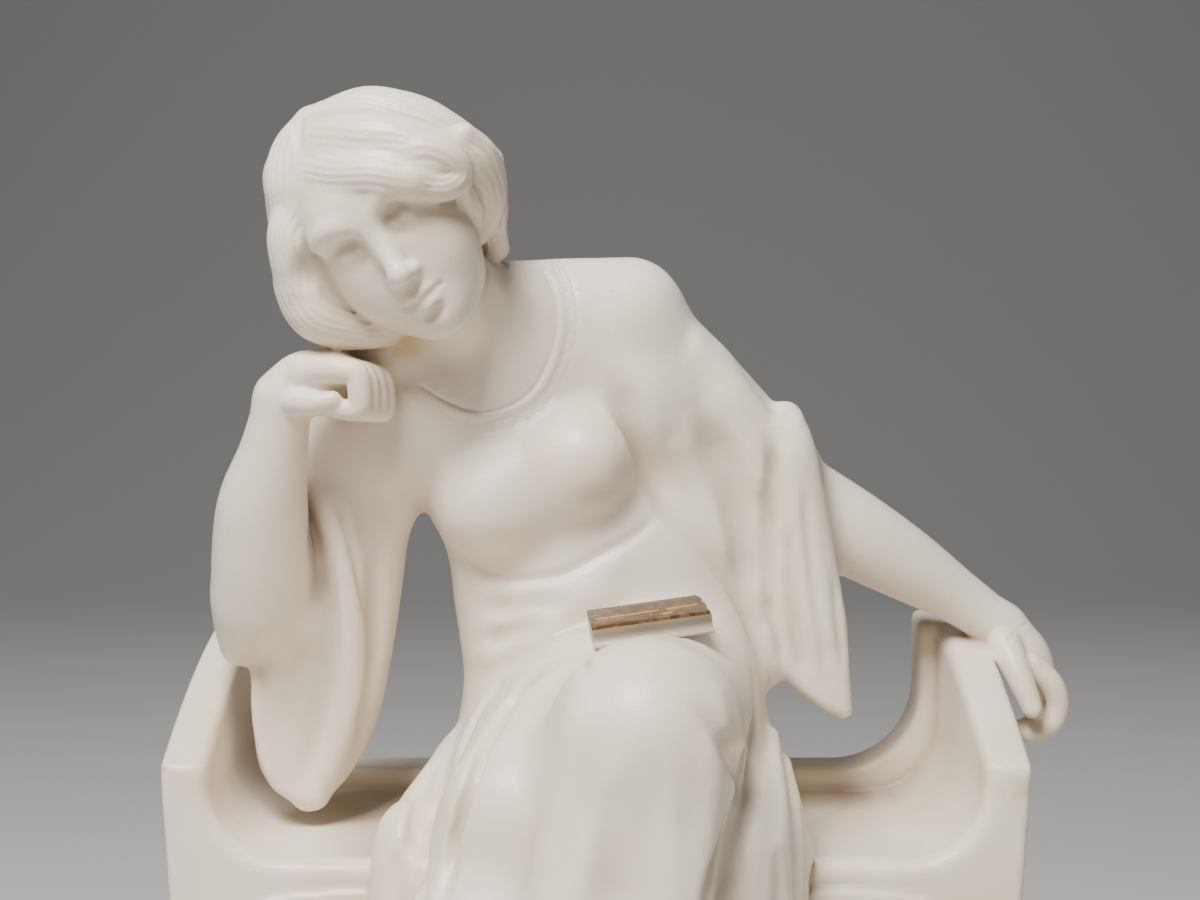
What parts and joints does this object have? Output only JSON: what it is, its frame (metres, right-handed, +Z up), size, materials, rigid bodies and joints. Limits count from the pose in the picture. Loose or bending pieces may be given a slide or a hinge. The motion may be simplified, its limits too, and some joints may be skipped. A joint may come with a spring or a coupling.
{
  "type": "reading girl statue",
  "caption": "Carved alabaster statuette of a young woman seated on a bench with high ends, leaning her head on her hand, a closed book on her lap, on a low slab base",
  "frame": {"origin": "centre of the underside of the base", "axes": "+Z up, the figure faces -Y, +X to the viewer's right"},
  "size_m": [0.2522, 0.206, 0.3197],
  "materials": {
    "alabaster": "satin",
    "gilt_book": "satin"
  },
  "bodies": {
    "root": {"seated_reader": "alabaster", "book": "gilt_book"}
  },
  "joints": []
}
